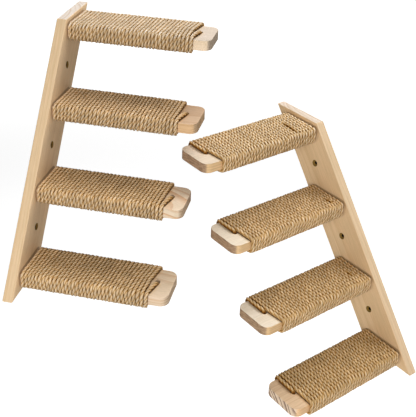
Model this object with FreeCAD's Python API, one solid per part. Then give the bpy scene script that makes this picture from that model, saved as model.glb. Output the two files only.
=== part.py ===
import FreeCAD, Part
import math
import os

V = FreeCAD.Vector

# A pair of wall ladders for a cat, mirror images of each other.
# Each is a slanted pine backboard with four level planks standing out of it as steps.
# Every plank is wound with jute rope from the board outwards, and its outer end stays bare.
# The origin is the left ladder's top wall hole, on the wall.
# X points out of that wall, Y along it towards the side that the ladder leans to, and Z up.

# Backboard, with its ends cut level
board_width = 108.0
board_thickness = 18.0
board_lean = 304.0
board_end_margin = 6.4
board_edge_chamfer = 1.0

# Wall holes, halfway between the steps, open and countersunk on the front
wall_hole_diameter = 5.0
wall_countersink_diameter = 13.0

# Steps
step_count = 4
step_rise = 113.0
plank_width = 77.2
plank_thickness = 18.0
plank_length = 252.0
plank_corner_radius = 18.0
plank_edge_chamfer = 1.5

# Rope winding
rope_thickness = 6.1
winding_length = 220.0
winding_turns = 23
turn_gap = 0.6
rope_clearance = 0.2
tail_width = 6.2
tail_bend = 2.2
tail_turn_share = 0.25
crown_height_share = 0.5
flank_height_share = -0.1
back_slope_share = 1 / 3

# Hole in the plank's top that takes the rope's tail
tail_hole_diameter = 7.0
tail_hole_depth = 13.0
tail_hole_offset = 5.0
tail_in_hole = 10.0

# Countersunk screws from the back of the board into the planks' end grain,
# heads flush with the back. They and their holes have few sides.
screw_diameter = 4.5
screw_head_diameter = 9.0
screw_length = 50.0
screw_tip_length = 6.0
screw_tip_diameter = 0.8
screw_spacing = 44.0
screw_clearance = 0.1
screw_sides = 6
corner_turn_share = 0.5

# How far each ladder's steps sit from its board's middle line towards the side it leans to
left_step_shift = 6.0
right_step_shift = 0.0

# The right ladder hangs on another wall: its top wall hole's place and its turn about Z
right_ladder_out = 474.0
right_ladder_along = 98.0
right_ladder_drop = 172.0
right_ladder_degrees = 229.2

cut_overrun = 1.0
flatness = 1e-6

# Worked out from the sizes above
winding_thickness = plank_thickness + 2 * (rope_clearance + rope_thickness)
board_height = (step_count - 1) * step_rise + winding_thickness + 2 * board_end_margin
board_middle_drop = (step_count - 2) * step_rise / 2
lean_slope = board_lean / board_height
rope_pitch = (winding_length + turn_gap - rope_clearance) / (winding_turns + tail_turn_share + 1)
rope_width = rope_pitch - turn_gap
step_heights = [step_rise / 2 - i * step_rise for i in range(step_count)]
wall_hole_heights = [-i * step_rise for i in range(step_count - 1)]


def step_middle(side, height, shift):
    # Sideways place of a step whose middle is at this height
    return side * (lean_slope * height + shift)


def turned(shape, place, turn):
    # A shape made at the origin, brought to its ladder's place on its wall
    moved = shape.copy()
    moved.rotate(V(0, 0, 0), V(0, 0, 1), turn)
    moved.translate(place)
    return moved


def flat_faces(corners):
    # One flat face on four corners, or two where the corners don't lie in one plane
    a, b, c, d = corners
    normal = (b - a).cross(c - a).normalize()
    if abs(normal.dot(d - a)) < flatness:
        return [Part.Face(Part.makePolygon([a, b, c, d, a]))]
    return [Part.Face(Part.makePolygon([a, b, c, a])), Part.Face(Part.makePolygon([a, c, d, a]))]


def skin(sections):
    # Closed solid through sections that have the same number of corners
    faces = [Part.Face(Part.makePolygon(end + end[:1])) for end in (sections[0], sections[-1])]
    for here, there in zip(sections, sections[1:]):
        for i in range(len(here)):
            faces += flat_faces([here[i - 1], here[i], there[i], there[i - 1]])
    solid = Part.makeSolid(Part.makeShell(faces))
    if solid.Volume < 0:
        solid.reverse()
    return solid


def screw_form(stations, across):
    # Few-sided rod along X through (place, radius) stations
    sections = []
    for x, radius in stations:
        section = []
        for i in range(screw_sides):
            angle = 2 * math.pi * (i + corner_turn_share) / screw_sides
            section.append(V(x, across + radius * math.cos(angle), radius * math.sin(angle)))
        sections.append(section)
    return skin(sections)


def make_board(side, step_shift):
    # Level-ended parallelogram with eased edges, leaning towards +Y or, mirrored, -Y
    top = board_height / 2 - board_middle_drop
    bottom = top - board_height
    low, high = lean_slope * bottom, lean_slope * top
    half = board_width / 2
    corners = [V(0, side * (low - half), bottom), V(0, side * (low + half), bottom),
               V(0, side * (high + half), top), V(0, side * (high - half), top)]
    outline = Part.makePolygon(corners + corners[:1])
    board = Part.Face(outline).extrude(V(board_thickness, 0, 0))
    board = board.makeChamfer(board_edge_chamfer, board.Edges)

    # Wall holes open on the front face
    cone_depth = (wall_countersink_diameter - wall_hole_diameter) / 2
    bore = Part.makeCylinder(wall_hole_diameter / 2, board_thickness + 2 * cut_overrun,
                             V(-cut_overrun, 0, 0), V(1, 0, 0))
    cone = Part.makeCone(wall_hole_diameter / 2, wall_countersink_diameter / 2, cone_depth,
                         V(board_thickness - cone_depth, 0, 0), V(1, 0, 0))
    for height in wall_hole_heights:
        for cutter in (bore, cone):
            cut = cutter.copy()
            cut.translate(V(0, side * lean_slope * height, height))
            board = board.cut(cut)

    # Clearance holes for the steps' screws, countersunk on the back
    stations = [(x, radius + screw_clearance) for x, radius in screw_stations()[:2]]
    stations[0] = (-cut_overrun, stations[0][1] + cut_overrun)
    stations += [(board_thickness + cut_overrun, screw_diameter / 2 + screw_clearance)]
    for height in step_heights:
        middle = step_middle(side, height, step_shift)
        for across in screw_places():
            cut = screw_form(stations, across)
            cut.translate(V(0, middle, height))
            board = board.cut(cut)
    return board.removeSplitter()


def screw_places():
    return (-screw_spacing / 2, screw_spacing / 2)


def screw_stations():
    # Head's face, head's root, start of the point and its end
    cone_depth = (screw_head_diameter - screw_diameter) / 2
    return [(0.0, screw_head_diameter / 2), (cone_depth, screw_diameter / 2),
            (screw_length - screw_tip_length, screw_diameter / 2),
            (screw_length, screw_tip_diameter / 2)]


def make_screws():
    # Two wood screws side by side, heads in the board's back, points in the plank
    return Part.makeCompound([screw_form(screw_stations(), across) for across in screw_places()])


def make_plank():
    # Board-like step with its two outer corners rounded in plan and its edges eased
    inner, outer = board_thickness, board_thickness + plank_length
    half = plank_width / 2
    radius = plank_corner_radius
    bend = radius * (1 - math.cos(math.radians(45)))
    level = -plank_thickness / 2
    edges = [
        Part.LineSegment(V(inner, -half, level), V(outer - radius, -half, level)),
        Part.Arc(V(outer - radius, -half, level), V(outer - bend, -half + bend, level),
                 V(outer, -half + radius, level)),
        Part.LineSegment(V(outer, -half + radius, level), V(outer, half - radius, level)),
        Part.Arc(V(outer, half - radius, level), V(outer - bend, half - bend, level),
                 V(outer - radius, half, level)),
        Part.LineSegment(V(outer - radius, half, level), V(inner, half, level)),
        Part.LineSegment(V(inner, half, level), V(inner, -half, level))]
    outline = Part.Wire([edge.toShape() for edge in edges])
    plank = Part.Face(outline).extrude(V(0, 0, plank_thickness))

    # The edges round the top and the underside are eased, but not those at the board
    eased = []
    for edge in plank.Edges:
        box = edge.BoundBox
        flat = box.ZLength < plank_edge_chamfer
        if flat and box.XMax > inner + plank_edge_chamfer:
            eased.append(edge)
    plank = plank.makeChamfer(plank_edge_chamfer, eased)

    tail_hole = Part.makeCylinder(tail_hole_diameter / 2, tail_hole_depth + cut_overrun,
                                  V(tail_hole_x(), 0, plank_thickness / 2 - tail_hole_depth))
    plank = plank.cut(tail_hole)
    pilot_radius = screw_diameter / 2 + screw_clearance
    stations = [(inner - cut_overrun, pilot_radius), (screw_length + screw_clearance, pilot_radius)]
    for across in screw_places():
        plank = plank.cut(screw_form(stations, across))
    return plank.removeSplitter()


def tail_hole_x():
    return board_thickness + winding_length + tail_hole_offset


def loop_corners():
    # Corners of one turn of the rope's middle line round the plank. They start on the
    # right of the underside, seen from the wall, and go up, over the top and down again.
    middle = rope_clearance + rope_thickness / 2
    spread = middle * math.tan(math.radians(22.5))
    flat_y = plank_width / 2 - plank_edge_chamfer + spread
    flat_z = plank_thickness / 2 + middle
    side_y = plank_width / 2 + middle
    side_z = plank_thickness / 2 - plank_edge_chamfer + spread
    return [(-flat_y, -flat_z), (-side_y, -side_z), (-side_y, side_z), (-flat_y, flat_z),
            (flat_y, flat_z), (side_y, side_z), (side_y, -side_z), (flat_y, -flat_z)]


def winding_route():
    # Points of the rope's middle line and the rope's width at each. The long runs over
    # the top and the underside gain more than a turn's pitch, and the six short ones
    # slant back by a third of that slope, so the rope winds on without twisting.
    corners = loop_corners()
    start = (0.0, corners[0][1])
    flat = [start] + corners + [start]
    runs = [math.dist(a, b) for a, b in zip(flat, flat[1:])]
    long_way = runs[0] + runs[4] + runs[8]
    short_way = sum(runs) - long_way
    slope = rope_pitch / (long_way - short_way * back_slope_share)
    gains = [run * slope if index in (0, 4, 8) else -run * slope * back_slope_share
             for index, run in enumerate(runs)]
    x = board_thickness + rope_clearance + rope_width / 2
    points = [V(x, *start)]
    for turn in range(winding_turns):
        x += gains[0]
        points.append(V(x, *corners[0]))
        for gain, corner in zip(gains[1:-1], corners[1:]):
            x += gain
            points.append(V(x, *corner))
        x += gains[-1]
    # The last turn climbs the right side once more and crosses the top to the tail's hole
    x += gains[0]
    points.append(V(x, *corners[0]))
    for gain, corner in zip(gains[1:4], corners[1:4]):
        x += gain
        points.append(V(x, *corner))
    widths = [rope_width] * len(points)
    hole = V(tail_hole_x(), 0, points[-1].z)
    ahead = (hole - points[-1]).normalize()
    points.append(hole - ahead * tail_bend)
    points.append(hole - V(0, 0, tail_bend))
    points.append(V(hole.x, hole.y, plank_thickness / 2 - tail_in_hole))
    widths += [tail_width] * 3
    return points, widths


def winding_sections():
    # Four-sided section with its crown outwards, carried along each run to the plane
    # that halves the turn at the run's end
    points, widths = winding_route()
    ways = [(b - a).normalize() for a, b in zip(points, points[1:])]
    out = V(0, 0, -1)
    across = ways[0].cross(out)
    flank = flank_height_share * rope_thickness
    crown = crown_height_share * rope_thickness
    section = [points[0] - out * crown, points[0] + across * (rope_width / 2) + out * flank,
               points[0] + out * crown, points[0] - across * (rope_width / 2) + out * flank]
    sections = [section]
    for index in range(1, len(points)):
        way = ways[index - 1]
        plane = (way + ways[min(index, len(ways) - 1)]).normalize()
        narrowing = widths[index] / widths[index - 1]
        middle = (section[1] + section[3]) * 0.5
        reach = (section[1] - section[3]) * (narrowing / 2)
        section = [section[0], middle + reach, section[2], middle - reach]
        moved = []
        for corner in section:
            ahead = (points[index] - corner).dot(plane) / way.dot(plane)
            moved.append(corner + way * ahead)
        section = moved
        sections.append(section)
    return sections


def make_winding():
    return skin(winding_sections())


def least_turn_gap():
    # Least distance between each run's edges and those of the turn after it
    sections = winding_sections()
    shares = [0.0, 0.25, 0.5, 0.75]
    runs = []
    for here, there in zip(sections, sections[1:]):
        runs.append([a + (b - a) * share for a, b in zip(here, there) for share in shares])
    corner_count = len(loop_corners())
    least = rope_pitch
    for index, run in enumerate(runs):
        for later in runs[index + corner_count - 1:index + corner_count + 2]:
            for a in run:
                for b in later:
                    least = min(least, a.distanceToPoint(b))
    return least


def save(name, shape):
    shape.exportStep(os.path.join("parts", name + ".step"))
    print(name, "solids", len(shape.Solids), "valid", shape.isValid(), "volume", round(shape.Volume))


os.makedirs("parts", exist_ok=True)
plank = make_plank()
winding = make_winding()
screws = make_screws()
left_place = V(0, 0, 0)
right_place = V(right_ladder_out, right_ladder_along, -right_ladder_drop)
ladders = [("left", 1, left_place, 0, left_step_shift),
           ("right", -1, right_place, right_ladder_degrees, right_step_shift)]
for name, side, place, turn, step_shift in ladders:
    save(name + "_backboard", turned(make_board(side, step_shift), place, turn))
    for number, height in enumerate(step_heights, 1):
        at_step = V(0, step_middle(side, height, step_shift), height)
        for piece, shape in (("plank", plank), ("rope", winding), ("screws", screws)):
            copy = shape.copy()
            copy.translate(at_step)
            save(f"{name}_step_{number}_{piece}", turned(copy, place, turn))
print("board height", round(board_height, 3), "rope pitch", round(rope_pitch, 3), "rope width", round(rope_width, 3))
print("least gap between turns", round(least_turn_gap(), 3))
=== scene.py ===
import math
import bmesh
import bpy
import numpy as np
from mathutils import Matrix, Vector, noise


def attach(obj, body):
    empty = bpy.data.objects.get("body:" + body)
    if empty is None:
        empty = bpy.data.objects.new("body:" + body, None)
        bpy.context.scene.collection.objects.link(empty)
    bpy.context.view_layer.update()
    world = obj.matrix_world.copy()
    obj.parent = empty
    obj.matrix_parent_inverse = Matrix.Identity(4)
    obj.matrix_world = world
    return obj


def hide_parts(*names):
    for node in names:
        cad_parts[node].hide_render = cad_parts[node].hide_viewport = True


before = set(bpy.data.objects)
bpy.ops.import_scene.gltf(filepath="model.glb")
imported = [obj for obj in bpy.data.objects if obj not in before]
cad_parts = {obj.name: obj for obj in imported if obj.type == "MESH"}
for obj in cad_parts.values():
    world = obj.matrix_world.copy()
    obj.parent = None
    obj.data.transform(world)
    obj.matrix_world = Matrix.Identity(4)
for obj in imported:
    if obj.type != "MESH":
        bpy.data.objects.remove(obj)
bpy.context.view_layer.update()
mm = 0.001
print("frame loaded with", len(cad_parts), "nodes")

# Both ladders: where each hangs, the side it leans to and how far its steps sit from its middle line
ladders = {
    "left": {"place": (0, 0, 0), "turn": 0, "side": 1, "stepShift": 6},
    "right": {"place": (474, 98, -172), "turn": 229.2, "side": -1, "stepShift": 0},
}
steps = {"count": 4, "first": 56.5, "rise": 113}
backboard = {
    "width": 108, "thickness": 18, "top": 78.2, "bottom": -304.2, "lean": 304, "edgeRadius": 1.75, "edgeSteps": 3,
    # the stations (place, radius) of each bore, and how far from its middle line its faces are drilled ones
    "bore": [(19, 7.1), (17.85, 6.35), (15.3, 2.9), (14.9, 2.7), (-1, 2.6)], "boreSides": 48, "boreReach": 6.6,
    "screwBore": [(-0.6, 5.2), (2.3, 2.4), (19, 2.35)], "screwBoreSides": 32, "screwBoreReach": 4.9,
    "holeHeights": (0, -113, -226), "coneFoot": 15.2, "boreMargin": 0.05,
    # painted shade round the steps: how strong it is, and how strong below them, how far it reaches and how round it
    # lies
    "cornerShadeColour": (128, 90, 46), "paintedShade": 0.5, "shadeBelow": 0.3, "dustReach": 2.0, "shadeCorner": 11,
    "shadeRise": 12, "shadeWaver": 1.2,
}
leanSlope = backboard["lean"] / (backboard["top"] - backboard["bottom"])


def moveTo(*place):
    return Matrix.Translation(Vector(place) * mm)


def ladderMatrix(name):
    ladder = ladders[name]
    return moveTo(*ladder["place"]) @ Matrix.Rotation(math.radians(ladder["turn"]), 4, "Z")


def stepSpot(name, number):
    # where the middle of a step is across the leaning board, and its height
    ladder = ladders[name]
    height = steps["first"] - (number - 1) * steps["rise"]
    return ladder["side"] * (leanSlope * height + ladder["stepShift"]), height


def allSteps():
    # a step is modelled round its own middle line, and its matrix takes it to its place on the board
    return [(name, number, ladderMatrix(name) @ moveTo(0, *stepSpot(name, number)))
            for name in ladders for number in range(1, steps["count"] + 1)]


# Modelling helpers

def leaveEdit():
    bpy.ops.object.mode_set(mode="OBJECT")


def workOn(obj, select=None):
    # with select, in edit mode and with everything or nothing selected
    if bpy.context.object and bpy.context.object.mode != "OBJECT":
        leaveEdit()
    bpy.ops.object.select_all(action="DESELECT")
    bpy.context.view_layer.objects.active = obj
    obj.select_set(True)
    if select:
        bpy.ops.object.mode_set(mode="EDIT")
        bpy.ops.mesh.select_all(action=select)


def pick(obj, kind, rule):
    # selects the faces or edges whose middle and direction pass the rule
    bpy.ops.mesh.select_all(action="DESELECT")
    bpy.ops.mesh.select_mode(type=kind)
    form = bmesh.from_edit_mesh(obj.data)
    for item in (form.faces if kind == "FACE" else form.edges):
        if kind == "FACE":
            middle, way = item.calc_center_median(), item.normal
        else:
            ends = [corner.co for corner in item.verts]
            middle, way = (ends[0] + ends[1]) / 2, (ends[1] - ends[0]).normalized()
        item.select_set(rule(middle / mm, way))
    form.select_flush_mode()
    bmesh.update_edit_mesh(obj.data)


def addModifier(obj, kind, **settings):
    workOn(obj)
    modifier = obj.modifiers.new(kind.lower(), kind)
    for key, value in settings.items():
        setattr(modifier, key, value)
    bpy.ops.object.modifier_apply(modifier=modifier.name)


def startBox(name, low, high):
    low, high = Vector(low) * mm, Vector(high) * mm
    bpy.ops.mesh.primitive_cube_add(size=1, location=(0, 0, 0))
    obj = bpy.context.object
    obj.name = name
    workOn(obj, "SELECT")
    bpy.ops.transform.resize(value=high - low, center_override=(0, 0, 0))
    bpy.ops.transform.translate(value=(low + high) / 2)
    return obj


def turnOutward(obj):
    workOn(obj, "SELECT")
    bpy.ops.mesh.normals_make_consistent(inside=False)
    leaveEdit()


def turnedForm(name, stations, sides, matrix=Matrix()):
    # a round form along X, drawn out station by station: (place, radius)
    x, radius = stations[0]
    bpy.ops.mesh.primitive_circle_add(vertices=sides, radius=radius * mm, fill_type="NGON",
                                      rotation=(0, math.radians(90), 0))
    obj = bpy.context.object
    obj.name = name
    bpy.ops.object.transform_apply(location=True, rotation=True, scale=True)
    workOn(obj, "SELECT")
    bpy.ops.transform.translate(value=(x * mm, 0, 0))
    for nextX, nextRadius in stations[1:]:
        bpy.ops.mesh.extrude_region_move(TRANSFORM_OT_translate={"value": ((nextX - x) * mm, 0, 0)})
        ratio = nextRadius / radius
        bpy.ops.transform.resize(value=(1, ratio, ratio), center_override=(nextX * mm, 0, 0))
        x, radius = nextX, nextRadius
    turnOutward(obj)
    obj.data.transform(matrix)
    return obj


def cutWith(obj, cutters):
    # every cutter goes through the piece in one pass, and is then thrown away
    workOn(cutters[0])
    for cutter in cutters[1:]:
        cutter.select_set(True)
    if len(cutters) > 1:
        bpy.ops.object.join()
    addModifier(obj, "BOOLEAN", operation="DIFFERENCE", solver="EXACT", object=cutters[0])
    bpy.data.objects.remove(cutters[0])


def addObject(name, data):
    obj = bpy.data.objects.new(name, data)
    bpy.context.scene.collection.objects.link(obj)
    return obj


def copyOf(obj, name, matrix):
    twin = obj.copy()
    twin.data = obj.data.copy()
    twin.name = twin.data.name = name
    bpy.context.scene.collection.objects.link(twin)
    twin.data.transform(matrix)
    return twin


def roundEdges(radius, segments):
    bpy.ops.mesh.bevel(
        offset=radius * mm, offset_type="OFFSET", segments=segments, affect="EDGES", clamp_overlap=False)


def softenShading(obj, angle=35):
    workOn(obj)
    bpy.ops.object.shade_smooth_by_angle(angle=math.radians(angle))
    addModifier(obj, "WEIGHTED_NORMAL", keep_sharp=True)


# Material helpers

def tint(red, green, blue):
    # a colour as seen on screen, made linear for a node socket
    shares = (value / 255 for value in (red, green, blue))
    return tuple(s / 12.92 if s < 0.0405 else ((s + 0.055) / 1.055) ** 2.4 for s in shares) + (1,)


def wire(tree, source, target):
    if isinstance(source, bpy.types.NodeSocket):
        tree.links.new(source, target)
    else:
        target.default_value = source


def fill(tree, sockets, values):
    for key, value in values.items():
        wire(tree, value, sockets[key])


def calc(tree, operation, *values, clamp=False):
    node = tree.nodes.new("ShaderNodeMath")
    node.operation, node.use_clamp = operation, clamp
    for value, socket in zip(values, node.inputs):
        wire(tree, value, socket)
    return node.outputs[0]


def times(tree, *values):
    return calc(tree, "MULTIPLY", *values)


def timesPlus(tree, *values):
    return calc(tree, "MULTIPLY_ADD", *values)


def vectorCalc(tree, operation, *values):
    node = tree.nodes.new("ShaderNodeVectorMath")
    node.operation = operation
    for value, socket in zip(values, node.inputs):
        wire(tree, value, socket)
    return node.outputs["Value" if operation in ("DOT_PRODUCT", "LENGTH") else "Vector"]


def joinXyz(tree, x, y, z):
    node = tree.nodes.new("ShaderNodeCombineXYZ")
    for value, socket in zip((x, y, z), node.inputs):
        wire(tree, value, socket)
    return node.outputs[0]


def splitXyz(tree, vector):
    node = tree.nodes.new("ShaderNodeSeparateXYZ")
    wire(tree, vector, node.inputs[0])
    return node.outputs[0], node.outputs[1], node.outputs[2]


def ramp(tree, value, low, high, lowTo=0.0, highTo=1.0):
    node = tree.nodes.new("ShaderNodeMapRange")
    node.interpolation_type = "SMOOTHSTEP"
    for number, socket in zip((value, low, high, lowTo, highTo), node.inputs):
        wire(tree, number, socket)
    return node.outputs[0]


def cloud(tree, vector, scale, detail=2.0, roughness=0.5):
    node = tree.nodes.new("ShaderNodeTexNoise")
    fill(tree, node.inputs, {"Vector": vector, "Scale": scale, "Detail": detail, "Roughness": roughness})
    return node.outputs["Fac"]


def blendColours(tree, share, first, second, mode="MIX"):
    node = tree.nodes.new("ShaderNodeMix")
    node.data_type, node.blend_type = "RGBA", mode
    wire(tree, share, node.inputs["Factor"])
    for value, socket in zip((first, second), [s for s in node.inputs if s.type == "RGBA"]):
        wire(tree, value, socket)
    return [s for s in node.outputs if s.type == "RGBA"][0]


def darken(tree, colour, *shares):
    return blendColours(tree, 1.0, colour, joinXyz(tree, *shares), "MULTIPLY")


def startGroup(name, inputs, outputs):
    group = bpy.data.node_groups.new(name, "ShaderNodeTree")
    for way, sockets in (("INPUT", inputs), ("OUTPUT", dict.fromkeys(outputs, "Float"))):
        for label, kind in sockets.items():
            group.interface.new_socket(name=label, in_out=way, socket_type="NodeSocket" + kind)
    return group, group.nodes.new("NodeGroupInput").outputs, group.nodes.new("NodeGroupOutput").inputs


def placeGroup(tree, group, values):
    node = tree.nodes.new("ShaderNodeGroup")
    node.node_tree = group
    fill(tree, node.inputs, values)
    return node.outputs


def startMaterial(name):
    material = bpy.data.materials.new(name)
    material.use_nodes = True
    return material, material.node_tree, material.node_tree.nodes["Principled BSDF"].inputs


def bump(tree, height, distance, strength):
    node = tree.nodes.new("ShaderNodeBump")
    fill(tree, node.inputs, {"Height": height, "Distance": distance * mm, "Strength": strength})
    return node.outputs[0]


def objectPlace(tree):
    return tree.nodes.new("ShaderNodeTexCoord").outputs["Object"]


def ownPlace(tree, matrix):
    # object coordinates seen from the frame of a matrix
    mapping = tree.nodes.new("ShaderNodeMapping")
    mapping.vector_type = "TEXTURE"
    fill(tree, mapping.inputs, {
        "Vector": objectPlace(tree), "Location": matrix.to_translation(), "Rotation": matrix.to_euler("XYZ")})
    return mapping.outputs[0]


def facing(tree, way):
    # how far a surface looks along a direction, to either side
    normal = tree.nodes.new("ShaderNodeTexCoord").outputs["Normal"]
    return calc(tree, "ABSOLUTE", vectorCalc(tree, "DOT_PRODUCT", normal, tuple(way)))


def layOver(material, share, colour):
    # covers a finished material's colour by a share that changes over the surface
    tree = material.node_tree
    base = tree.nodes["Principled BSDF"].inputs["Base Color"]
    wire(tree, blendColours(tree, share, base.links[0].from_socket, tint(*colour)), base)


# Shared effects

def makePineFigure():
    # growth rings round a pith that runs along X, and fine streaks along the same way
    group, given, made = startGroup(
        "pineFigure", {"Place": "Vector", "Pith": "Vector", "Ring Width": "Float", "Wander": "Float"},
        ["Late Wood", "Streak", "Tone", "Pore"])
    place = vectorCalc(group, "SUBTRACT", given["Place"], given["Pith"])

    def drawnCloud(stretch, *settings):
        return cloud(group, vectorCalc(group, "MULTIPLY", place, stretch), 1.0, *settings)

    radius = vectorCalc(group, "LENGTH", vectorCalc(group, "MULTIPLY", place, (0, 1, 1)))
    drift = calc(group, "SUBTRACT", drawnCloud((5, 16, 16), 1.5), 0.5)
    moved = timesPlus(group, drift, given["Wander"], radius)
    ringCount = calc(group, "DIVIDE", moved, given["Ring Width"])
    # some years grew wider rings and some darker late wood
    uneven = cloud(group, joinXyz(group, ringCount, 0.0, 0.0), 0.35, 1.0)
    ringCount = timesPlus(group, uneven, 2.4, ringCount)
    year = joinXyz(group, calc(group, "FLOOR", ringCount), 0.0, 3.0)
    yearTone = times(group, cloud(group, year, 1.7, 0.0), 1.3)
    share = calc(group, "FRACT", ringCount)
    late = times(group, ramp(group, share, 0.35, 0.93), ramp(group, share, 0.95, 1.0, 1.0, 0.0))
    wire(group, calc(group, "MULTIPLY", late, yearTone, clamp=True), made["Late Wood"])
    wire(group, ramp(group, drawnCloud((22, 900, 900), 3.0, 0.6), 0.3, 0.7), made["Streak"])
    wire(group, drawnCloud((4, 30, 30)), made["Tone"])
    wire(group, ramp(group, drawnCloud((90, 2600, 2600), 1.0), 0.62, 0.75), made["Pore"])
    return group


def makeEdgeWear():
    # how near a point is to an edge of the piece, broken up as handling does
    group, given, made = startGroup(
        "edgeWear", {"Place": "Vector", "Reach": "Float", "Patchiness": "Float"}, ["Edge"])
    rounded = group.nodes.new("ShaderNodeBevel")
    rounded.samples = 6
    wire(group, given["Reach"], rounded.inputs["Radius"])
    geometry = group.nodes.new("ShaderNodeNewGeometry")
    likeness = vectorCalc(group, "DOT_PRODUCT", rounded.outputs[0], geometry.outputs["Normal"])
    edge = ramp(group, calc(group, "SUBTRACT", 1.0, likeness), 0.01, 0.22)
    patches = ramp(group, cloud(group, given["Place"], 160.0, 3.0), 0.35, 0.65)
    wear = timesPlus(group, calc(group, "SUBTRACT", patches, 1.0), given["Patchiness"], 1.0)
    wire(group, calc(group, "MULTIPLY", edge, wear, clamp=True), made["Edge"])
    return group


def makeStrandFibres():
    # fibres of a laid rope, on its own map: U runs along it in metres, V once round its strands
    group, given, made = startGroup(
        "strandFibres", {"Map": "Vector", "Place": "Vector", "Lay": "Float", "Lean": "Float"},
        ["Fibre", "Valley", "Strand Tone", "Patch"])
    u, v = splitXyz(group, given["Map"])[:2]
    strands = times(group, v, 3.0)
    number = calc(group, "FLOOR", strands)
    away = calc(group, "ABSOLUTE", timesPlus(group, calc(group, "FRACT", strands), 2.0, -1.0))
    wire(group, ramp(group, away, 0.6, 1.0), made["Valley"])
    around = timesPlus(group, calc(group, "DIVIDE", u, given["Lay"]), given["Lean"], v)
    fibreMap = [times(group, *pair) for pair in ((u, 120.0), (around, 30.0), (number, 7.3))]
    wire(group, ramp(group, cloud(group, joinXyz(group, *fibreMap), 1.0, 3.0, 0.65), 0.28, 0.72), made["Fibre"])
    toneMap = [times(group, *pair) for pair in ((u, 9.0), (number, 5.1))]
    wire(group, cloud(group, joinXyz(group, *toneMap, 0.0), 1.0, 1.0), made["Strand Tone"])
    wire(group, cloud(group, given["Place"], 38.0), made["Patch"])
    return group


pineFigure = makePineFigure()
edgeWear = makeEdgeWear()
strandFibres = makeStrandFibres()

pine = {
    "edge": (250, 234, 208), "edgeReach": 1.6, "wearAndHighlightShare": 0.55, "roughness": 0.72, "specular": 0.16,
    # the colours inside the bores are painted shade, and the rim is their lighter edge
    "coneShade": (140, 111, 54), "coneShadeDark": (104, 79, 34), "boreShadow": (26, 19, 10), "rim": (196, 164, 112),
    "drilledSpecular": 0.1,
}

# Each plank and board comes from another place of a log: where its pith lay, how wide its rings are and how far
# they wander, how far its grain tilts, how much its late wood shows, and the tones of its broad sides, narrow
# sides (flank) and end grain. Blotches and rings mark the end grain.
usualCut = {"blotch": 0.5, "endShare": 0.75, "flankLate": 1}
paleCut = {"blotch": 0.7, "endShare": 0.3, "flankLate": 0.6, "flank": (233, 196, 148)}
cuts = {
    "leftBoard": {
        "pith": (30, -60), "ring": 7.0, "wander": 8, "tilt": 0.6, "lateShare": 0.36, "blotch": 0.2,
        "light": (250, 218, 176), "flank": (235, 204, 164), "late": (232, 190, 138),
        "end": (245, 233, 222), "endLate": (214, 186, 158)},
    "rightBoard": {
        "pith": (-24, -75), "ring": 7.6, "wander": 8, "tilt": -0.5, "lateShare": 0.45, "blotch": 0.2,
        "light": (225, 193, 151), "flank": (239, 209, 171), "late": (197, 157, 108),
        "end": (240, 222, 204), "endLate": (212, 182, 152)},
    "left1": {
        "pith": (-140, -30), "ring": 2.4, "wander": 4, "tilt": 1.0, "lateShare": 0.30,
        "light": (229, 212, 195), "flank": (242, 218, 188), "late": (214, 192, 164),
        "end": (185, 168, 149), "endLate": (150, 132, 111)},
    "left2": {
        "pith": (14, -110), "ring": 5.2, "wander": 7, "tilt": 1.5, "lateShare": 0.50,
        "light": (228, 194, 161), "flank": (227, 188, 144), "late": (184, 136, 90),
        "end": (200, 171, 137), "endLate": (165, 132, 99)},
    "left3": {
        "pith": (-34, -24), "ring": 8.6, "wander": 9, "tilt": 16.0, "lateShare": 0.8,
        "light": (252, 228, 200), "flank": (231, 211, 184), "late": (216, 150, 84),
        "end": (208, 181, 153), "endLate": (166, 136, 107)},
    "left4": {
        "pith": (-20, -46), "ring": 6.6, "wander": 7, "tilt": 4.0, "lateShare": 0.65,
        "light": (239, 214, 184), "flank": (229, 204, 176), "late": (208, 160, 106),
        "end": (218, 193, 164), "endLate": (173, 144, 112)},
    "right1": {
        **paleCut, "pith": (18, -120), "ring": 6.4, "wander": 5, "tilt": 0.5, "lateShare": 0.28,
        "light": (246, 228, 206), "late": (228, 200, 160), "end": (180, 148, 119), "endLate": (125, 98, 74)},
    "right2": {
        **paleCut, "pith": (-26, -135), "ring": 7.0, "wander": 5, "tilt": 0.8, "lateShare": 0.26,
        "light": (250, 234, 211), "late": (228, 198, 158), "end": (178, 146, 116), "endLate": (128, 101, 77)},
    "right3": {
        **paleCut, "pith": (34, -110), "ring": 6.0, "wander": 6, "tilt": 0.6, "lateShare": 0.28,
        "light": (251, 235, 212), "late": (226, 196, 156), "end": (182, 151, 120), "endLate": (126, 99, 75)},
    "right4": {
        "pith": (-74, -42), "ring": 8.2, "wander": 5, "tilt": 3.0, "lateShare": 0.4, "blotch": 0.15, "endShare": 1.9,
        "light": (232, 199, 162), "flank": (240, 199, 153), "late": (196, 152, 112),
        "end": (235, 210, 182), "endLate": (150, 123, 108)},
}


def nearSegment(tree, place, first, second):
    # distance from a line between two points, all in metres
    first, second = Vector(first) * mm, Vector(second) * mm
    way = second - first
    start = vectorCalc(tree, "SUBTRACT", place, tuple(first))
    share = calc(tree, "DIVIDE", vectorCalc(tree, "DOT_PRODUCT", start, tuple(way)), way.length_squared, clamp=True)
    foot = vectorCalc(tree, "MULTIPLY", joinXyz(tree, share, share, share), tuple(way))
    return vectorCalc(tree, "LENGTH", vectorCalc(tree, "SUBTRACT", start, foot))


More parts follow.
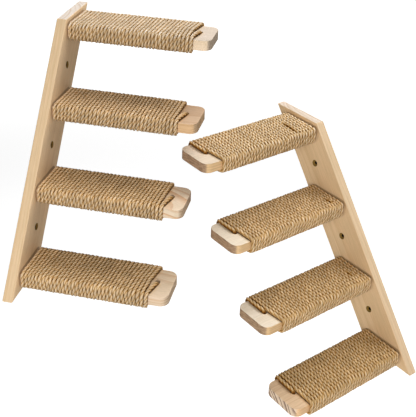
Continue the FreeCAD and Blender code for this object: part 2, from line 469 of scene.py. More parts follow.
def paintShadowByRope(material, matrix, lie, wound):
    # painted shadow on the bare wood beside the last turn and under the tail
    tree = material.node_tree
    place = ownPlace(tree, matrix)
    half, end, pitch, level = rope["halfWidth"], wound["end"], pitchOf(wound), plank["thickness"] / 2
    before, after = lie["ends"]
    middle = (end - 0.8 * pitch, 0, level)
    tail = [(*wound["tail"][index][:2], level) for index in (0, 3)]
    lines = [(middle, (end - pitch + before, -half, level)), (middle, (end - 0.6 * pitch + after, half, level)), tail]
    first, second, third = [nearSegment(tree, place, *line) for line in lines]
    nearest = calc(tree, "MINIMUM", calc(tree, "MINIMUM", first, second), third)
    wavy = timesPlus(tree, cloud(tree, place, 220.0), plank["shadowWaver"] * mm, nearest)
    shade = ramp(tree, wavy, plank["shadowFrom"] * mm, wound["shadowByRope"] * mm, plank["shadowByRope"], 0.0)
    # painted bounce light from the rope: the wood is warmer farther out than the painted shadow is dark
    base = tree.nodes["Principled BSDF"].inputs["Base Color"]
    bounceShare = ramp(tree, wavy, plank["bounceFrom"] * mm, plank["bounceReach"] * mm, 1.0, 0.0)
    wire(tree, blendColours(tree, bounceShare, base.links[0].from_socket, (*plank["bounceTint"], 1), "MULTIPLY"), base)
    layOver(material, shade, plank["ropeShadowColour"])


def shadeRoundSteps(material, name):
    # painted shade in the narrow corner between the board and the first turn of each winding
    tree = material.node_tree
    place = ownPlace(tree, ladderMatrix(name))
    x, y, z = splitXyz(tree, place)
    first, rise = steps["first"] * mm, steps["rise"] * mm
    number = calc(tree, "ROUND", calc(tree, "DIVIDE", calc(tree, "SUBTRACT", first, z), rise))
    height = timesPlus(tree, number, -rise, first)
    side, shift = ladders[name]["side"], ladders[name]["stepShift"]
    middle = timesPlus(tree, height, side * leanSlope, side * shift * mm)
    across, up = calc(tree, "SUBTRACT", y, middle), calc(tree, "SUBTRACT", z, height)
    corner = backboard["shadeCorner"]
    past = [0.0]
    for way, half in ((across, rope["halfWidth"]), (up, rope["halfHeight"])):
        inner = (half + rope["halfThick"] - corner) * mm
        past.append(calc(tree, "MAXIMUM", calc(tree, "SUBTRACT", calc(tree, "ABSOLUTE", way), inner), 0.0))
    away = vectorCalc(tree, "LENGTH", joinXyz(tree, *past))
    away = timesPlus(tree, cloud(tree, place, 220.0), backboard["shadeWaver"] * mm, away)
    shade = ramp(tree, away, corner * mm, (corner + backboard["dustReach"]) * mm, backboard["paintedShade"], 0.0)
    onFront = calc(tree, "GREATER_THAN", x, (backboard["thickness"] - 0.5) * mm)
    above = ramp(tree, up, 0.0, backboard["shadeRise"] * mm, backboard["shadeBelow"], 1.0)
    shade = times(tree, times(tree, shade, onFront), above)
    layOver(material, shade, backboard["cornerShadeColour"])


def makePine(name, matrix, along, face, cut):
    # along is the grain's direction in the piece, face the direction that its broad side looks
    material, tree, shader = startMaterial(name)
    cut = {**usualCut, **cut}
    turn = matrix.to_3x3()
    xWay, zWay = (turn @ Vector(along)).normalized(), (turn @ Vector(face)).normalized()
    yWay = zWay.cross(xWay)
    axes = Matrix((xWay, yWay, zWay)).transposed() @ Matrix.Rotation(math.radians(cut["tilt"]), 3, "Y")
    place = ownPlace(tree, Matrix.Translation(matrix.to_translation()) @ axes.to_4x4())
    figure = placeGroup(tree, pineFigure, {
        "Place": place, "Pith": (0, cut["pith"][0] * mm, cut["pith"][1] * mm), "Ring Width": cut["ring"] * mm,
        "Wander": cut["wander"] * mm})
    edge = placeGroup(tree, edgeWear, {"Place": place, "Reach": pine["edgeReach"] * mm, "Patchiness": 0.5})["Edge"]
    late = times(tree, figure["Late Wood"], cut["lateShare"])
    # the narrow sides of a piece show the rings in another direction and are the warmer for it
    broad = blendColours(tree, late, tint(*cut["light"]), tint(*cut["late"]))
    narrowLate = [a * b / c * cut["flankLate"] for a, b, c in zip(cut["late"], cut["flank"], cut["light"])]
    narrow = blendColours(tree, late, tint(*cut["flank"]), tint(*narrowLate))
    side = blendColours(tree, ramp(tree, facing(tree, yWay), 0.4, 0.8), broad, narrow)
    blotchPlace = vectorCalc(tree, "MULTIPLY", place, (1, 0.3, 1))
    blotch = ramp(tree, cloud(tree, blotchPlace, 420.0), 0.3, 0.7)
    blotch = timesPlus(tree, blotch, cut["blotch"], -0.05)
    endMarks = calc(tree, "MULTIPLY_ADD", figure["Late Wood"], cut["endShare"], blotch, clamp=True)
    end = blendColours(tree, endMarks, tint(*cut["end"]), tint(*cut["endLate"]))
    endGrain = ramp(tree, facing(tree, xWay), 0.50, 0.80)
    colour = blendColours(tree, endGrain, side, end)
    shade = times(tree, ramp(tree, figure["Streak"], 0.0, 1.0, 0.91, 1.03),
                 ramp(tree, figure["Tone"], 0.25, 0.75, 0.95, 1.03))
    shade = times(tree, shade, timesPlus(tree, figure["Pore"], -0.08, 1.0))
    colour = darken(tree, colour, shade, shade, calc(tree, "POWER", shade, 1.3))
    # the edges are lighter: partly handling wear, partly a painted highlight
    colour = blendColours(tree, times(tree, edge, pine["wearAndHighlightShare"]), colour, tint(*pine["edge"]))
    rough = timesPlus(tree, figure["Streak"], -0.10, pine["roughness"])
    rough = timesPlus(tree, endGrain, 0.2, rough)
    height = times(tree, figure["Streak"], 0.5)
    for mark, depth in (("Late Wood", -0.3), ("Pore", -0.6)):
        height = timesPlus(tree, figure[mark], depth, height)
    fill(tree, shader, {
        "Base Color": colour, "Roughness": rough, "Specular IOR Level": pine["specular"],
        "Normal": bump(tree, height, 0.08, 0.6)})
    return material


def makeShadedBorePine(name, first, second, rimShare):
    # bare wood inside the bores, darkened by painted shade
    material, tree, shader = startMaterial(name)
    place = objectPlace(tree)
    marks = cloud(tree, place, 900.0, 3.0)
    edge = placeGroup(tree, edgeWear, {"Place": place, "Reach": 0.8 * mm, "Patchiness": 0.7})["Edge"]
    colour = blendColours(tree, ramp(tree, marks, 0.3, 0.7), tint(*pine[first]), tint(*pine[second]))
    colour = blendColours(tree, times(tree, edge, rimShare), colour, tint(*pine["rim"]))
    fill(tree, shader, {
        "Base Color": colour, "Roughness": ramp(tree, marks, 0.2, 0.8, 0.85, 0.65),
        "Specular IOR Level": pine["drilledSpecular"], "Normal": bump(tree, marks, 0.15, 0.7)})
    return material


def makeJute(name, tone, litTopTone):
    material, tree, shader = startMaterial(name)
    uvMap = tree.nodes.new("ShaderNodeUVMap")
    uvMap.uv_map = "strandMap"
    fibres = placeGroup(tree, strandFibres, {
        "Map": uvMap.outputs[0], "Place": objectPlace(tree), "Lay": rope["lay"] * mm, "Lean": rope["fibreLean"]})
    colour = blendColours(tree, fibres["Fibre"], tint(*rope["shade"]), tint(*rope["light"]))
    # painted shade where a turn is pressed against its neighbours, most in the hollows between the strands, and more
    # painted shade down the valleys between the strands
    paintedShade = tree.nodes.new("ShaderNodeAttribute")
    paintedShade.attribute_name = "creviceShade"
    hollow = timesPlus(tree, fibres["Valley"], 0.15, 0.85)
    paintedShade = times(tree, times(tree, paintedShade.outputs["Fac"], hollow), rope["creviceShadeDepth"])
    unshaded = timesPlus(tree, calc(tree, "MINIMUM", paintedShade, 1.0), rope["deepest"] - 1, 1.0)
    unshaded = times(tree, unshaded, timesPlus(tree, fibres["Valley"], -rope["valleyShade"], 1.0))
    colour = darken(tree, colour, *[calc(tree, "POWER", unshaded, share) for share in rope["shadeTint"]])
    low, high = rope["strandTones"]
    shade = times(tree, ramp(tree, fibres["Strand Tone"], 0.25, 0.75, low * tone, high * tone),
                 ramp(tree, fibres["Patch"], 0.3, 0.7, *rope["patchTones"]))
    colour = darken(tree, colour, shade, shade, times(tree, shade, 0.98))
    # painted shade makes the underside darker, and painted light gives the top of each step's winding its own tone
    height = splitXyz(tree, tree.nodes.new("ShaderNodeTexCoord").outputs["Normal"])[2]
    under = ramp(tree, height, -0.6, 0.45, rope["underShade"], 1.0)
    colour = darken(tree, colour, under, under, under)
    colour = blendColours(tree, ramp(tree, height, 0.2, 0.7), colour, darken(tree, colour, *litTopTone))
    relief = timesPlus(tree, fibres["Valley"], -0.5, fibres["Fibre"])
    fill(tree, shader, {
        "Base Color": colour, "Roughness": ramp(tree, fibres["Fibre"], 0.0, 1.0, 0.95, 0.78),
        "Specular IOR Level": rope["specular"], "Sheen Weight": rope["sheen"], "Sheen Roughness": 0.5,
        "Sheen Tint": tint(*rope["light"]), "Normal": bump(tree, relief, 0.35, 0.7)})
    return material


def makeScrewSteel():
    material, tree, shader = startMaterial("zincSteel")
    place = objectPlace(tree)
    spangle = cloud(tree, place, 1400.0)
    edge = placeGroup(tree, edgeWear, {"Place": place, "Reach": 0.4 * mm, "Patchiness": 0.4})["Edge"]
    stain = ramp(tree, cloud(tree, place, 260.0, 3.0), 0.35, 0.65)
    colour = blendColours(tree, stain, tint(*screw["stained"]), tint(*screw["steel"]))
    colour = blendColours(tree, times(tree, edge, 0.6), colour, tint(*screw["worn"]))
    fill(tree, shader, {
        "Base Color": colour, "Metallic": 1.0, "Roughness": ramp(tree, spangle, 0.3, 0.7, 0.28, 0.46),
        "Normal": bump(tree, spangle, 0.03, 0.5)})
    return material


# Step planks
plank = {
    "inner": 18, "outer": 270, "width": 77.2, "thickness": 18, "cornerRadius": 15, "cornerSteps": 12,
    "edgeRadius": 1.3, "edgeSteps": 3, "screwAcross": (-22, 22), "pilotBore": [(17, 2.35), (50.1, 2.35)],
    # the hole for the tail is a little longer than wide, the way the rope comes in
    "tailHole": (243, 0), "tailSlip": 3.3,
    "tailBore": [(10, 5.3), (8.9, 4.4), (8.3, 4.2), (-3.2, 4.1), (-4, 2.2)],
    # painted shadow on the wood beside the rope: how dark it is and from where, and painted bounce light: how warm it
    # is and how far out
    "ropeShadowColour": (98, 64, 28), "shadowByRope": 0.88, "shadowFrom": 3.4, "shadowWaver": 1.6,
    "bounceTint": (1, 0.93, 0.8), "bounceFrom": 4, "bounceReach": 11,
}


def makePlank():
    half, level = plank["width"] / 2, plank["thickness"] / 2
    obj = startBox("plank", (plank["inner"], -half, -level), (plank["outer"], half, level))
    pick(obj, "EDGE", lambda middle, way: abs(way.z) > 0.9 and middle.x > plank["outer"] - 1)
    roundEdges(plank["cornerRadius"], plank["cornerSteps"])
    # every edge round the top and the underside but those at the board
    inner = plank["inner"] + 1
    pick(obj, "EDGE", lambda middle, way: abs(way.z) < 0.1 and abs(middle.z) > level - 0.1 and middle.x > inner)
    roundEdges(plank["edgeRadius"], plank["edgeSteps"])
    leaveEdit()
    holeX, holeY = plank["tailHole"]
    upright = Matrix.Rotation(math.radians(-90), 4, "Y")
    for slip in (0, plank["tailSlip"]):
        cutWith(obj, [turnedForm("tailBore", plank["tailBore"], 40, moveTo(holeX, holeY + slip, 0) @ upright)])
    cutWith(obj, [turnedForm("pilotBore", plank["pilotBore"], 16, moveTo(0, y, 0)) for y in plank["screwAcross"]])
    softenShading(obj)
    return obj


def dressPlanks():
    # one plank is modelled, and each copy is cut from another place of a pine log
    model = makePlank()
    for name, number, matrix in allSteps():
        obj = copyOf(model, f"{name}Step{number}Plank", matrix)
        wood = makePine(f"{name}Step{number}Pine", matrix, (1, 0, 0), (0, 0, 1), cuts[f"{name}{number}"])
        paintShadowByRope(wood, matrix, lies[f"{name}{number}"], rope["wound"][name])
        obj.data.materials.append(wood)
        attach(obj, "root")
        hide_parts(f"{name}_step_{number}_plank")
    bpy.data.objects.remove(model)


def boreSpots(name):
    # the middle line of every bore across and up a board: wall holes, and two screws for each step
    side = ladders[name]["side"]
    wallSpots = [(side * leanSlope * height, height) for height in backboard["holeHeights"]]
    stepSpots = [stepSpot(name, number) for number in range(1, steps["count"] + 1)]
    return wallSpots, [(across + shift, height) for across, height in stepSpots for shift in plank["screwAcross"]]


def makeBoard(name):
    slant = ladders[name]["side"] * leanSlope
    half, top, bottom = backboard["width"] / 2, backboard["top"], backboard["bottom"]
    middleHeight = (top + bottom) / 2
    offset = slant * middleHeight
    obj = startBox(name + "Board", (0, offset - half, bottom), (backboard["thickness"], offset + half, top))
    for sign in (1, -1):
        pick(obj, "FACE", lambda middle, normal: normal.z * sign > 0.5)
        bpy.ops.transform.translate(value=(0, sign * slant * (top - middleHeight) * mm, 0))
    bpy.ops.mesh.select_all(action="SELECT")
    roundEdges(backboard["edgeRadius"], backboard["edgeSteps"])
    leaveEdit()
    cutters = []
    for kind, spots in zip(("bore", "screwBore"), boreSpots(name)):
        for spot in spots:
            cutters.append(turnedForm(kind, backboard[kind], backboard[kind + "Sides"], moveTo(0, *spot)))
    cutWith(obj, cutters)
    softenShading(obj)
    return obj


def dressBoards():
    # each material's slot number: the cones of the bores, and the narrow bores behind them
    coneShade, deep = 1, 2
    margin = backboard["boreMargin"]
    for name in ladders:
        obj = makeBoard(name)
        bores = [(*spot, backboard[kind + "Reach"])
                 for kind, spots in zip(("bore", "screwBore"), boreSpots(name)) for spot in spots]
        for face in obj.data.polygons:
            x, y, z = face.center / mm
            inBore = any(math.hypot(y - across, z - height) < reach for across, height, reach in bores)
            if inBore and margin < x < backboard["thickness"] - margin:
                face.material_index = coneShade if x > backboard["coneFoot"] else deep
        matrix = ladderMatrix(name)
        obj.data.transform(matrix)
        grain = Vector((0, ladders[name]["side"] * leanSlope, 1)).normalized()
        wood = makePine(name + "BoardPine", matrix, grain, (1, 0, 0), cuts[name + "Board"])
        shadeRoundSteps(wood, name)
        for material in (wood, coneShadePine, boreShadowPine):
            obj.data.materials.append(material)
        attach(obj, "root")
        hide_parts(name + "_backboard")


# Wood screws from the back of the board
screw = {
    "stations": [(0.05, 4.2), (0.25, 4.5), (0.6, 4.4), (2.5, 2.25), (4, 2.0), (44, 2.0), (50, 0.35)], "sides": 32,
    # the cross recess, and how much each slot narrows along and across itself down to its floor
    "recessDepth": 2.0, "recessWidth": 4.6, "recessSlot": 1.0, "narrowAlong": 0.45, "narrowAcross": 0.8,
    "steel": (176, 175, 168), "stained": (146, 146, 142), "worn": (206, 206, 202),
}


def makeScrew():
    obj = turnedForm("screw", screw["stations"], screw["sides"])
    half, slot, depth = screw["recessWidth"] / 2, screw["recessSlot"] / 2, screw["recessDepth"]
    along, across = screw["narrowAlong"], screw["narrowAcross"]
    for y, z, narrowing in ((half, slot, (1, along, across)), (slot, half, (1, across, along))):
        cutter = startBox("recess", (-0.5, -y, -z), (depth, y, z))
        pick(cutter, "FACE", lambda middle, normal: normal.x > 0.5)
        bpy.ops.transform.resize(value=narrowing, center_override=(depth * mm, 0, 0))
        leaveEdit()
        cutWith(obj, [cutter])
    softenShading(obj, 30)
    return obj


def dressScrews():
    model = makeScrew()
    model.data.materials.append(makeScrewSteel())
    for name, number, matrix in allSteps():
        pair = []
        for index, across in enumerate(plank["screwAcross"]):
            # no two recesses point the same way
            turn = Matrix.Rotation(0.4 + number + index, 4, "X")
            pair.append(copyOf(model, f"{name}Step{number}Screws", matrix @ moveTo(0, across, 0) @ turn))
        workOn(pair[0])
        pair[1].select_set(True)
        bpy.ops.object.join()
        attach(pair[0], "root")
        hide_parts(f"{name}_step_{number}_screws")
    bpy.data.objects.remove(model)


# Jute winding: one length of three-strand rope round each plank, its tail down the hole
rope = {
    "lay": 28.5, "start": 21.6, "halfWidth": 41.85, "halfHeight": 12.3, "halfThick": 3.3,
    # one turn: share of the pitch gained, and shares of half the width and half the height. The last turn ends at
    # its fifth point, where the tail takes over.
    "turn": [(0, 0, -1), (0.139, -0.72, -1), (0.193, -1, -1), (0.25, -1, 0), (0.307, -1, 1), (0.361, -0.72, 1),
             (0.5, 0, 1), (0.639, 0.72, 1), (0.693, 1, 1), (0.75, 1, 0), (0.807, 1, -1), (0.861, 0.72, -1)],
    "lastPoint": 4,
    # the right ladder's windings are a turn longer, and their tails lie along the last turn
    # each winding also sets how far the painted shadow on the wood beside it reaches
    "wound": {
        "left": {
            "turns": 33, "end": 234.9, "lead": 0.4, "swell": 0.16, "shadowByRope": 5.2, "tone": 0.965,
            "tipShade": 0.4, "besideTail": 0.3, "tailDark": 0.6, "sideEase": 0.6,
            "tail": [(236.4, -30, 12.6), (239.2, -19, 13.1), (241.8, -10.6, 12.9), (243.0, -4.6, 11.6),
                     (243.1, -2.0, 5.5), (243.0, 0.1, 1), (243.0, 0.4, -1)]},
        "right": {
            "turns": 34, "end": 241.2, "lead": 0.8, "swell": 0.14, "shadowByRope": 5.6, "tone": 1.015,
            "tipShade": 0.1, "besideTail": 1.0, "tailDark": 0.85, "sideEase": 0.3,
            "tail": [(243.2, -30, 12.4), (244.0, -18, 12.9), (244.1, -7, 13.3), (243.7, 0.8, 13.0),
                     (243.3, 2.4, 7), (243.0, 2.6, 2), (243.0, 2.6, -1)]},
    },
    # unevenness of the turns and of the lay
    "seed": 4.7, "wobble": 0.35, "lift": 0.22, "slowTwist": 3.2, "quickTwist": 0.3, "slide": 0.45,
    "askewFrom": 160, "topSlope": 0.0296,
    # the rope's section: three strands, square and flat where turns press each other, thin at its two ends
    "ringSpacing": 1.9, "lobePoints": 6, "strandAt": 1.52, "strandRadius": 1.98,
    "pressed": 3.3, "pressPower": 8, "squareness": 4.2, "thinRings": 9, "thinEnd": 0.78, "startSize": 0.55,
    "endSize": 0.5,
    # its colours: of a fibre, of painted shade down to the deepest, and how much more each channel loses there
    "light": (250, 229, 198), "shade": (210, 166.5, 115), "deepest": 0.1, "shadeTint": (1, 1.5, 2.7),
    "valleyShade": 0.4, "creviceShadeDepth": 0.94, "underShade": 0.68, "strandTones": (0.86, 1.11), "patchTones": (0.93, 1.05),
    "fibreLean": 1.15, "specular": 0.02, "sheen": 0.03, "firstCreviceShade": 0.4, "outerCreviceShade": 0.45, "firstSeed": 11,
}

# How the turns of each winding lie: their slant over the top, how much farther out the last turns lie on the -Y
# and +Y side, an open groove between two turns (turn, where it starts and ends across the plank, width), and the
# painted light on the top: its tone, lighter on the upper steps and darker on the lower
lies = {
    "left1": {"slant": 0.02, "ends": (2, 7), "top": (1.05, 1.16, 1.42)},
    "left2": {"slant": -0.03, "ends": (0, 0), "top": (1.1, 1.09, 1.12)},
    "left3": {"slant": 0.045, "ends": (0, 2.5), "top": (1.08, 1.05, 1.02)},
    "left4": {"slant": 0.045, "ends": (0, 7), "top": (1.04, 1.02, 0.99)},
    "right1": {"slant": 0.06, "ends": (1.5, -5), "groove": (5, -13, 38, 1.9), "top": (1.1, 1.16, 1.25)},
    "right2": {"slant": -0.04, "ends": (2.5, -3), "groove": (2, 8, 36, 1.4), "top": (1.02, 1.01, 0.98)},
    "right3": {"slant": -0.04, "ends": (2, -6), "groove": (3, -3, 21, 1.1), "top": (0.97, 0.95, 0.89)},
    "right4": {"slant": 0.0, "ends": (0, -1), "top": (0.92, 0.89, 0.8)},
}


def pitchOf(wound):
    return (wound["end"] - rope["start"]) / (wound["turns"] + rope["turn"][rope["lastPoint"]][0])


def windingRoute(wound):
    # control points of the winding's spline, in the step's own frame
    pitch, lastPoint = pitchOf(wound), rope["lastPoint"]
    points = []
    for turn in range(wound["turns"] + 1):
        last = turn == wound["turns"]
        for index, (gain, across, height) in enumerate(rope["turn"][:lastPoint + 1] if last else rope["turn"]):
            seed = Vector((turn * 0.42, index * 0.9, rope["seed"]))
            x = rope["start"] + pitch * (turn + gain) + rope["wobble"] * noise.noise(seed)
            if last:
                x += wound["lead"] * index / lastPoint
            lift = rope["lift"] * noise.noise(seed + Vector((9, 4, 2)))
            points.append((x, across * (rope["halfWidth"] + lift), height * (rope["halfHeight"] + lift)))
    return points + wound["tail"]


def splineLine(points):
    # the line of a smooth spline through the route, as Blender draws it
    curve = bpy.data.curves.new("windingRoute", "CURVE")
    curve.dimensions = "3D"
    spline = curve.splines.new("NURBS")
    spline.points.add(len(points) - 1)
    for point, target in zip(points, spline.points):
        target.co = (*(c * mm for c in point), 1)
    spline.order_u = 3
    spline.use_endpoint_u = True
    spline.resolution_u = 12
    carrier = addObject("windingRoute", curve)
    bpy.context.view_layer.update()
    mesh = bpy.data.meshes.new_from_object(carrier)
    line = np.array([vertex.co for vertex in mesh.vertices])
    bpy.data.objects.remove(carrier)
    bpy.data.meshes.remove(mesh)
    return line


def evenLine(line, spacing):
    lengths = np.concatenate([[0], np.cumsum(np.linalg.norm(np.diff(line, axis=0), axis=1))])
    count = int(lengths[-1] / spacing)
    places = np.linspace(0, lengths[-1], count + 1)
    return np.stack([np.interp(places, lengths, line[:, axis]) for axis in range(3)], axis=1), places


def carriedFrame(line):
    # two directions across the rope, carried along it without twisting
    ways = np.gradient(line, axis=0)
    ways /= np.linalg.norm(ways, axis=1)[:, None]
    across = np.zeros_like(ways)
    current = np.cross(ways[0], (1.0, 0, 0))
    for index, way in enumerate(ways):
        current = current - way * current.dot(way)
        current /= np.linalg.norm(current)
        across[index] = current
    return across, np.cross(ways, across)


def twistedStrands(line, places, wound):
    # the rope's skin round its middle line: three strands that turn about each other
    lobe = rope["lobePoints"]
    corners = np.arange(3 * lobe)
    alpha = (corners % lobe) / lobe * 2 * math.pi / 3 - math.pi / 3
    inset = rope["strandAt"] * np.sin(alpha)
    reach = rope["strandAt"] * np.cos(alpha) + np.sqrt(rope["strandRadius"] ** 2 - inset ** 2)
    angle = corners / len(corners) * 2 * math.pi
    # the loose tail is fuller than the pressed turns, and thins where it is pushed down the hole
    size = 1 + wound["swell"] * np.clip((line[:, 0] / mm - wound["end"] - 0.8) / 2, 0, 1)
    size[-rope["thinRings"]:] *= np.linspace(0.98, rope["thinEnd"], rope["thinRings"])
    size[0], size[-1] = rope["startSize"], rope["endSize"]
    # the lay is a little tighter in one place and slacker in another
    slow, quick = rope["slowTwist"], rope["quickTwist"]
    slack = np.array([slow * noise.noise((place * 9, 3.1, 0)) + quick * noise.noise((place * 45, 7.7, 0))
                      for place in places])
    turned = angle[None, :] + 2 * math.pi * places[:, None] / (rope["lay"] * mm) + slack[:, None]
    radius = reach[None, :] * size[:, None] * mm
    across, other = carriedFrame(line)
    return (across[:, None, :] * (radius * np.cos(turned))[:, :, None]
            + other[:, None, :] * (radius * np.sin(turned))[:, :, None])


def pressTurns(line, places, offset, wound):
    # presses the turns flat where they touch each other, and gives how much painted shade each point gets there
    side = np.sign(line) * np.abs(line / [1, rope["halfWidth"] * mm, rope["halfHeight"] * mm]) ** 5
    side[:, 0] = 0
    side /= np.linalg.norm(side, axis=1)[:, None] + 1e-9
    outward = (offset * side[:, None, :]).sum(axis=2) / np.linalg.norm(offset, axis=2)
    # painted shade on the underside of the loose tail
    creviceShade = np.clip((wound["tailDark"] - outward) / 0.6, 0, 1) ** 1.3
    # painted shade on the tip of the tail, where it goes down the hole, deepest on its underside
    tipShading = np.clip((places - places[-1] + 0.03) / 0.014, 0, 1) * wound["tipShade"]
    tipShading = tipShading[:, None] * np.clip(1.1 - 0.6 * outward, 0.4, 1)
    inTurns = line[:, 0] < wound["end"] * mm
    x, y, out = line[inTurns, None, 0], line[inTurns, None, 1], outward[inTurns]
    pitch = pitchOf(wound)
    # the last turn has no neighbour on its outer side, and the first only the board
    free = (x > (wound["end"] - 0.88 * pitch) * mm) & (offset[inTurns, :, 0] > 0)
    first = (x < (rope["start"] + 0.7 * pitch) * mm) & (offset[inTurns, :, 0] < 0)
    power = rope["squareness"]
    fuller = (np.abs(out) ** power + np.abs(1 - out ** 2) ** (power / 2)) ** (-1 / power)
    offset[inTurns] *= np.where((out > 0) & ~free, fuller, 1)[:, :, None]
    limit, power = rope["pressed"] * mm, rope["pressPower"]
    aside = offset[inTurns, :, 0]
    pressed = aside * limit / (np.abs(aside) ** power + limit ** power) ** (1 / power)
    offset[inTurns, :, 0] = np.where(free, aside, pressed)
    near = np.clip((0.84 - out) / 0.4, 0, 1) ** 1.1
    near *= np.where(out < 0, 1, 1 - wound["sideEase"] * np.abs(side[inTurns, None, 1]))
    near *= np.where(first, rope["firstCreviceShade"], 1)
    creviceShade[inTurns] = near * np.where(free, np.where(y < 0, wound["besideTail"], rope["outerCreviceShade"]), 1)
    return np.maximum(creviceShade, tipShading)


def skinMesh(points, places, creviceShade):
    # the rings of points skinned and closed, with the rope's own map and the painted shade at every point
    ringCount, count = points.shape[:2]
    here = np.arange(count)
    there = (here + 1) % count
    rings = np.arange(ringCount - 1)[:, None] * count
    quads = np.stack([rings + here, rings + there, rings + count + there, rings + count + here], axis=2)
    last = (ringCount - 1) * count
    faces = quads.reshape(-1, 4).tolist() + [list(range(count))[::-1], [last + index for index in range(count)]]
    mesh = bpy.data.meshes.new("winding")
    mesh.from_pydata(points.reshape(-1, 3).tolist(), [], faces)
    u = np.repeat(np.stack([places[:-1], places[:-1], places[1:], places[1:]], axis=1), count, axis=0)
    v = np.tile(np.stack([here, here + 1, here + 1, here], axis=1) / count, (ringCount - 1, 1))
    ends = np.zeros((2 * count, 2))
    ends[count:, 0] = places[-1]
    uv = np.concatenate([np.stack([u, v], axis=2).reshape(-1, 2), ends])
    mesh.uv_layers.new(name="strandMap").data.foreach_set("uv", uv.astype(np.float32).ravel())
    mesh.attributes.new("creviceShade", "FLOAT", "POINT").data.foreach_set("value", creviceShade.astype(np.float32).ravel())
    mesh.shade_smooth()
    return mesh


def makeWinding(wound):
    line, places = evenLine(splineLine(windingRoute(wound)), rope["ringSpacing"] * mm)
    offset = twistedStrands(line, places, wound)
    creviceShade = pressTurns(line, places, offset, wound)
    obj = addObject("winding", skinMesh(line[:, None, :] + offset, places, creviceShade))
    turnOutward(obj)
    print("winding rope", round(float(places[-1]), 3), "m, faces", len(obj.data.polygons))
    return obj


def settle(mesh, seed, lie, wound):
    # the turns of each winding lie a little differently
    place = np.zeros(len(mesh.vertices) * 3)
    mesh.vertices.foreach_get("co", place)
    place = place.reshape(-1, 3)
    phases = np.random.default_rng(seed).uniform(0, 2 * math.pi, 6)
    x, y, z = place[:, 0].copy(), place[:, 1], place[:, 2]
    end = wound["end"] * mm
    free = np.clip((x - 0.024) / 0.03, 0, 1) * np.clip((end - 0.003 - x) / 0.03, 0, 1)
    slide = (np.sin(x * 88 + phases[0]) * np.sin(y * 42 + z * 60 + phases[1])
             + 0.6 * np.sin(x * 171 + phases[2]) * np.sin(y * 71 - z * 90 + phases[3]))
    moved = x + rope["slide"] * mm * free * slide + free * lie["slant"] * y * z / (rope["halfHeight"] * mm)
    if "groove" in lie:
        turn, low, high, width = lie["groove"]
        border = rope["start"] * mm + pitchOf(wound) * mm * (turn + 1) + rope["topSlope"] * y
        fromEnds = np.clip((y - low * mm) / 0.012, 0, 1) * np.clip((high * mm - y) / 0.012, 0, 1)
        span = fromEnds * np.clip(z / 0.006, 0, 1)
        parted = np.tanh((x - border) / (0.8 * mm)) * np.exp(-np.abs(x - border) / 0.03)
        moved += 0.5 * width * mm * span * parted
        # the open groove gets painted shade down to the wood
        creviceShade = np.zeros(len(x))
        mesh.attributes["creviceShade"].data.foreach_get("value", creviceShade)
        creviceShade = np.maximum(creviceShade, 1.1 * span * np.exp(-((x - border) / (2.2 * mm)) ** 4))
        mesh.attributes["creviceShade"].data.foreach_set("value", creviceShade)
    # the last turns lie askew
    start = rope["askewFrom"] * mm
    reach = np.clip((x - start) / (end - start), 0, 1) ** 1.5
    aslant = np.clip(y / (rope["halfWidth"] * mm), -1, 1)
    before, after = lie["ends"]
    moved += mm * reach * np.where(aslant < 0, -aslant * before, aslant * after)
    place[:, 0] = moved
    mesh.vertices.foreach_set("co", place.ravel())


def dressWindings():
    models = {name: makeWinding(wound) for name, wound in rope["wound"].items()}
    for index, (name, number, matrix) in enumerate(allSteps()):
        lie, wound = lies[f"{name}{number}"], rope["wound"][name]
        obj = copyOf(models[name], f"{name}Step{number}Winding", Matrix())
        settle(obj.data, rope["firstSeed"] + index, lie, wound)
        obj.data.transform(matrix)
        litTopTone = [share / wound["tone"] for share in lie["top"]]
        obj.data.materials.append(makeJute(f"{name}Step{number}Jute", wound["tone"], litTopTone))
        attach(obj, "root")
        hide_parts(f"{name}_step_{number}_rope")
    for model in models.values():
        bpy.data.objects.remove(model)


# the cones of the bores get painted shade, and the narrow bores behind them a near-black painted shade
coneShadePine = makeShadedBorePine("coneShadePine", "coneShade", "coneShadeDark", 0.5)
boreShadowPine = makeShadedBorePine("boreShadowPine", "boreShadow", "boreShadow", 0.1)
dressBoards()
print("backboards made")
dressPlanks()
print("planks made")
dressScrews()
print("screws made")
dressWindings()
print("windings made")

# Studio: a white floor well below the ladders, a bright room and soft lamps
studio = {
    "floorHeight": -0.95, "floorSize": 24, "floorShade": (0.9, 0.9, 0.9, 1), "floorGlow": 0.46, "roomLight": 0.05,
    # where the glow of the floor starts to take over from the lamps' light, and where it is alone, in metres
    "glowFrom": 1.3, "glowAlone": 3.0,
    # place in metres, and power
    "lamps": {
        "front": ((0.3, -2.6, 0.9), 45), "frontLow": ((0.3, -2.6, -0.2), 13), "topBack": ((0.3, 1.3, 1.9), 27),
        "topBackRight": ((1.3, 1.1, 1.8), 22), "topRight": ((1.7, 0.1, 1.7), 8),
    },
    "lampSize": 1.2, "aim": (0.25, -0.05, -0.12),
}


def seenDirectly(tree):
    path = tree.nodes.new("ShaderNodeLightPath").outputs
    seen = calc(tree, "MAXIMUM", path["Is Camera Ray"], path["Is Glossy Ray"])
    return calc(tree, "MAXIMUM", seen, path["Is Transmission Ray"])


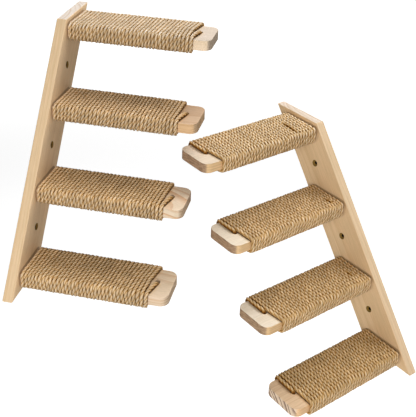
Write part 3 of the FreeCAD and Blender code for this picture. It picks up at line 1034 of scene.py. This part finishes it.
def makeFloor():
    bpy.ops.mesh.primitive_plane_add(size=studio["floorSize"], location=(0, 0, studio["floorHeight"]))
    floor = bpy.context.object
    floor.name = "studioFloor"
    workOn(floor, "SELECT")
    bpy.ops.mesh.subdivide(number_cuts=3)
    leaveEdit()
    material, tree, shader = startMaterial("studioFloor")
    # farther out, where the lamps don't reach, it stays as white as under them
    distance = vectorCalc(tree, "LENGTH", objectPlace(tree))
    glow = ramp(tree, distance, studio["glowFrom"], studio["glowAlone"], studio["floorGlow"], 1.0)
    fill(tree, shader, {
        "Base Color": studio["floorShade"], "Roughness": 0.9, "Specular IOR Level": 0.0,
        "Emission Color": (1, 1, 1, 1), "Emission Strength": times(tree, seenDirectly(tree), glow)})
    # from below the floor doesn't hide the ladders
    chosen = tree.nodes.new("ShaderNodeMixShader")
    wire(tree, tree.nodes.new("ShaderNodeNewGeometry").outputs["Backfacing"], chosen.inputs[0])
    wire(tree, tree.nodes["Principled BSDF"].outputs[0], chosen.inputs[1])
    wire(tree, tree.nodes.new("ShaderNodeBsdfTransparent").outputs[0], chosen.inputs[2])
    wire(tree, chosen.outputs[0], tree.nodes["Material Output"].inputs["Surface"])
    floor.data.materials.append(material)


def makeRoom():
    world = bpy.data.worlds.new("studioRoom")
    bpy.context.scene.world = world
    world.use_nodes = True
    tree, light = world.node_tree, studio["roomLight"]
    strength = timesPlus(tree, seenDirectly(tree), 1 - light, light)
    fill(tree, tree.nodes["Background"].inputs, {"Color": (1, 1, 1, 1), "Strength": strength})


def makeLamps():
    for name, (place, power) in studio["lamps"].items():
        data = bpy.data.lights.new(name, "AREA")
        data.shape, data.size, data.energy = "SQUARE", studio["lampSize"], power
        obj = addObject(name, data)
        way = Vector(studio["aim"]) - Vector(place)
        obj.matrix_world = Matrix.Translation(place) @ way.to_track_quat("-Z", "Y").to_matrix().to_4x4()


# Camera where the photograph was taken from
camera = {
    "place": (0.52448, -1.24248, 0.51558), "right": (0.97603703, 0.21453776, 0.03640425),
    "up": (-0.14170596, 0.49968589, 0.85453697), "lens": 68.65,
}


def makeCamera():
    data = bpy.data.cameras.new("camera")
    data.lens, data.sensor_width = camera["lens"], 36
    obj = addObject("camera", data)
    right, up = Vector(camera["right"]), Vector(camera["up"])
    turn = Matrix((right, up, right.cross(up))).transposed()
    obj.matrix_world = Matrix.Translation(camera["place"]) @ turn.to_4x4()
    bpy.context.scene.camera = obj


makeFloor()
makeRoom()
makeLamps()
makeCamera()
bpy.context.scene.view_settings.view_transform = "Standard"
print("studio made")
